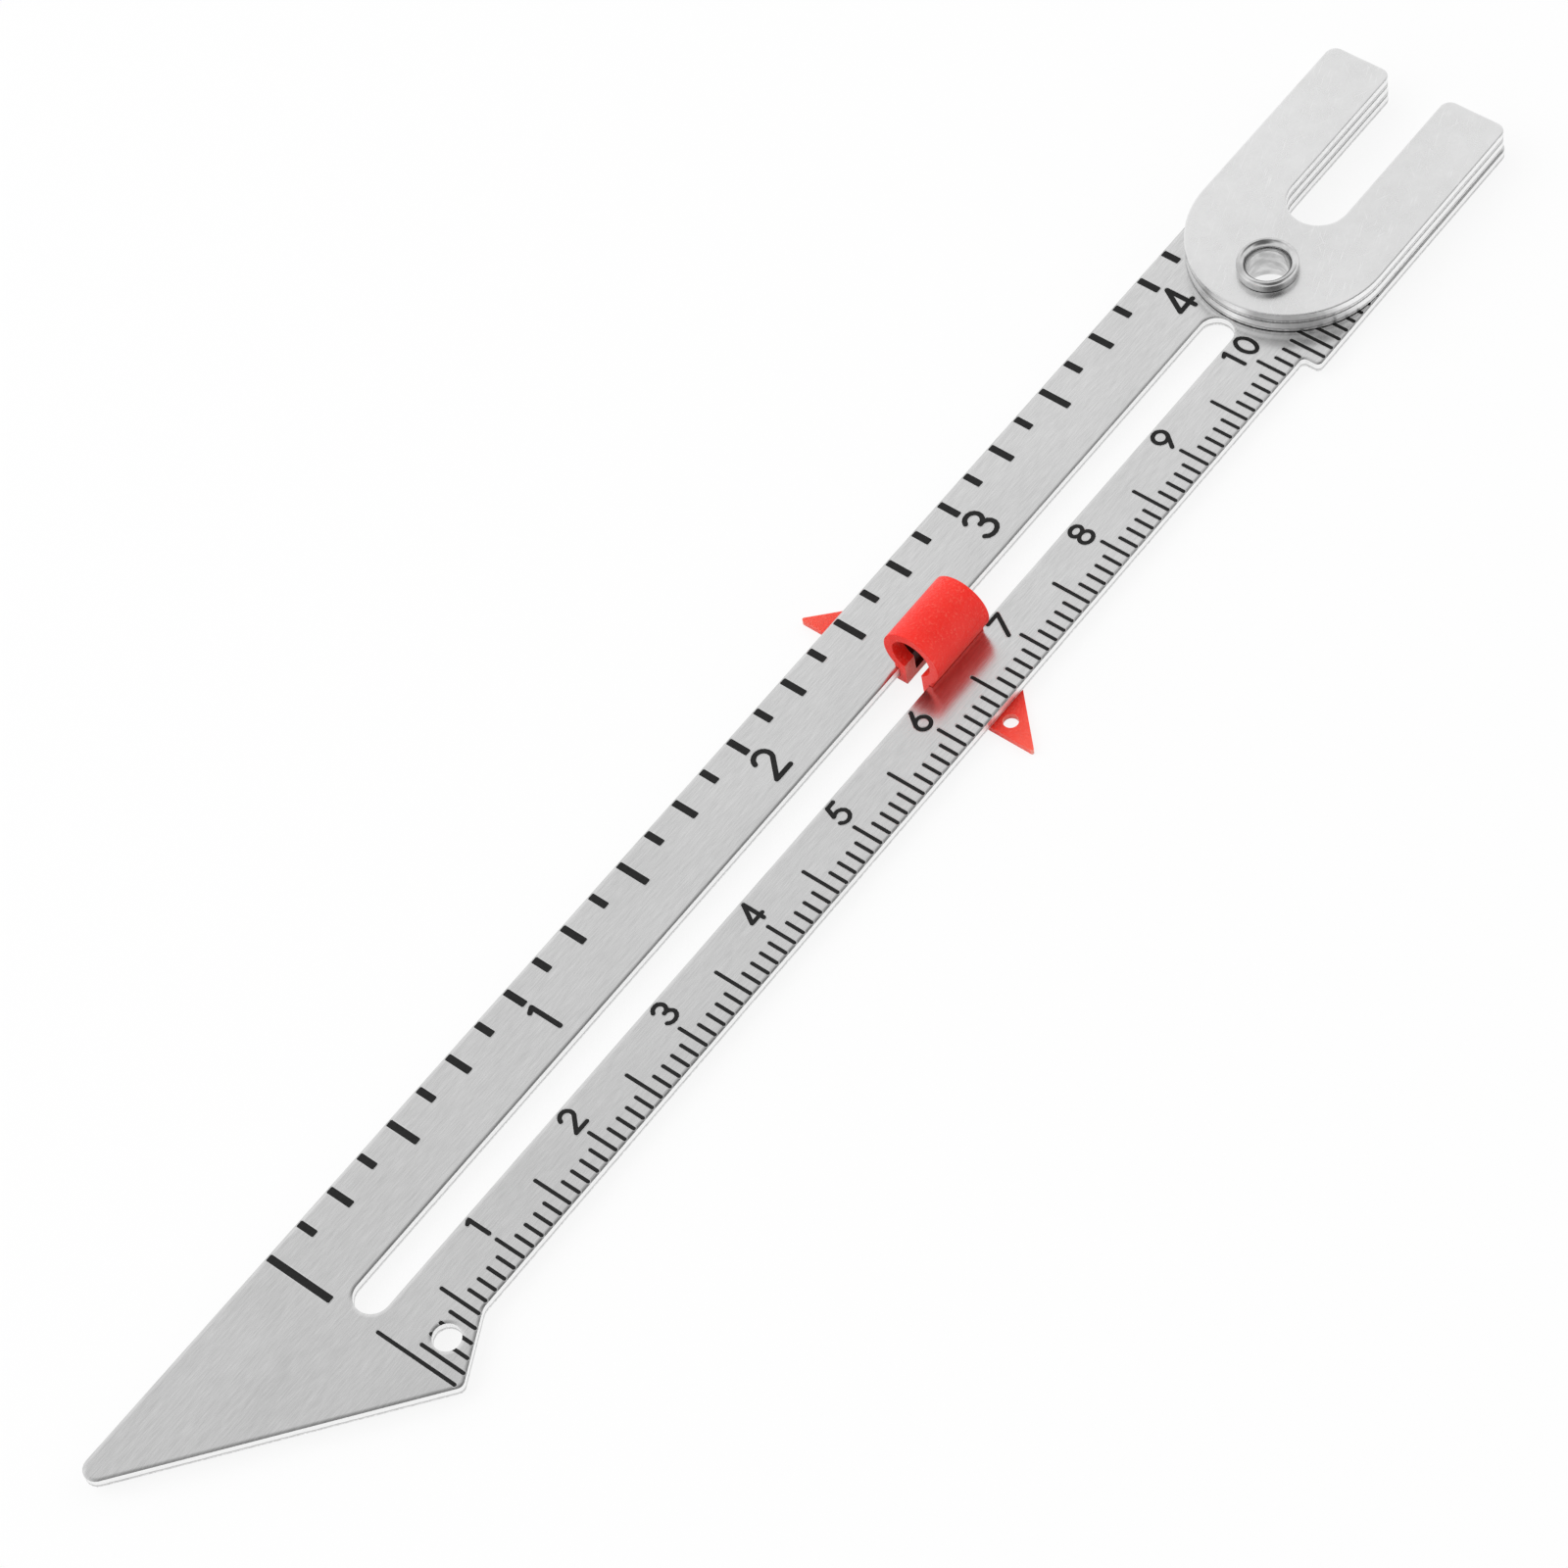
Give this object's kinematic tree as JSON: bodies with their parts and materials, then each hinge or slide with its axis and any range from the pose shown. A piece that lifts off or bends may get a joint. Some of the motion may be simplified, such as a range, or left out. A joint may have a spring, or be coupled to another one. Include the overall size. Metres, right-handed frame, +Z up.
{
  "type": "hemming ruler",
  "caption": "Slotted metal sewing gauge with inch and metric scales, a red sliding pointer, and swivelling button-shank spacer plates on an eyelet at its forked end.",
  "frame": {"origin": "under the middle of the whole ruler, on the surface that it lies on", "axes": "+X along the blade from the pointed nose to the fork, +Y across it towards the inch edge, +Z up out of the marked face"},
  "size_m": [0.1472, 0.0212, 0.0062],
  "materials": {
    "brushed_blade": "brushed across and along, satin",
    "plain_plate": "lightly scratched satin",
    "nickel_eyelet": "polished nickel",
    "red_plastic": "finely pebbled, slightly translucent",
    "black_fill": "matt paint in stamped grooves"
  },
  "bodies": {
    "gauge": {"blade": "brushed_blade", "eyelet": "nickel_eyelet", "inch_scale_fill": "black_fill", "metric_scale_fill": "black_fill", "inch_numeral_fill": "black_fill", "metric_numeral_fill": "black_fill"},
    "slider": {"slider": "red_plastic"},
    "middle_plate": {"middle_spacer_plate": "plain_plate"},
    "upper_plate": {"upper_spacer_plate": "plain_plate"}
  },
  "joints": [
    {"name": "slider_travel", "type": "slide", "parent": "gauge", "child": "slider", "axis": [1, 0, 0], "range_m": [-0.0609, 0.0284]},
    {"name": "middle_plate_swing", "type": "hinge", "parent": "gauge", "child": "middle_plate", "pos_m": [0.0524, -0.00075, 0.00203], "axis": [0, 0, 1], "range_deg": [-90, 90]},
    {"name": "upper_plate_swing", "type": "hinge", "parent": "gauge", "child": "upper_plate", "pos_m": [0.0524, -0.00075, 0.00301], "axis": [0, 0, 1], "range_deg": [-90, 90]}
  ]
}
